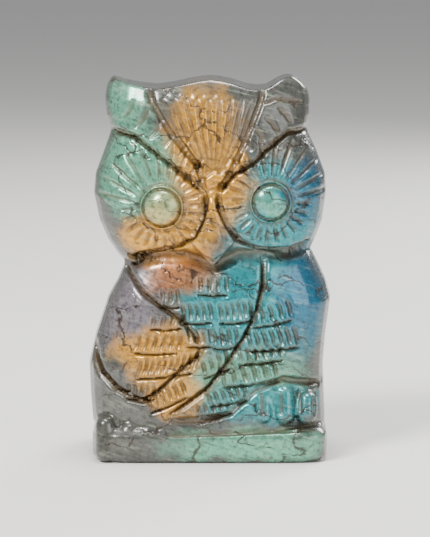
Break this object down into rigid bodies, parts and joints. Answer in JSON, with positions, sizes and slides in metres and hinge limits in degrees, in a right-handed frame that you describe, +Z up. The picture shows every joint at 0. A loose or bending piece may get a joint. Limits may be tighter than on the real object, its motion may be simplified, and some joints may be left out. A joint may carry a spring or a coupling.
{
  "type": "carved stone owl figurine",
  "caption": "Small owl carved from one piece of labradorite, standing on its own base, with facial discs, ear tufts, ribbed wings and breast.",
  "frame": {"origin": "centre of the figurine's footprint, on the face that it rests on", "axes": "+Z up, -Y the way the owl faces, +X to the viewer's right"},
  "size_m": [0.032, 0.02, 0.05],
  "materials": {
    "grey_stone": "polished",
    "gold_stone": "polished",
    "pale_green_stone": "polished",
    "blue_green_stone": "polished"
  },
  "bodies": {
    "root": {"plinth": "blue_green_stone", "torso": "grey_stone", "breast": "gold_stone", "left_wing": "gold_stone", "right_wing": "blue_green_stone", "tail": "grey_stone", "left_foot": "grey_stone", "right_foot": "blue_green_stone", "head": "grey_stone", "forehead_fan": "gold_stone", "left_ear_tuft": "pale_green_stone", "right_ear_tuft": "grey_stone", "left_facial_disc": "pale_green_stone", "right_facial_disc": "blue_green_stone", "left_eye_ring": "gold_stone", "right_eye_ring": "blue_green_stone", "left_eye": "pale_green_stone", "right_eye": "blue_green_stone", "beak": "gold_stone"}
  },
  "joints": []
}
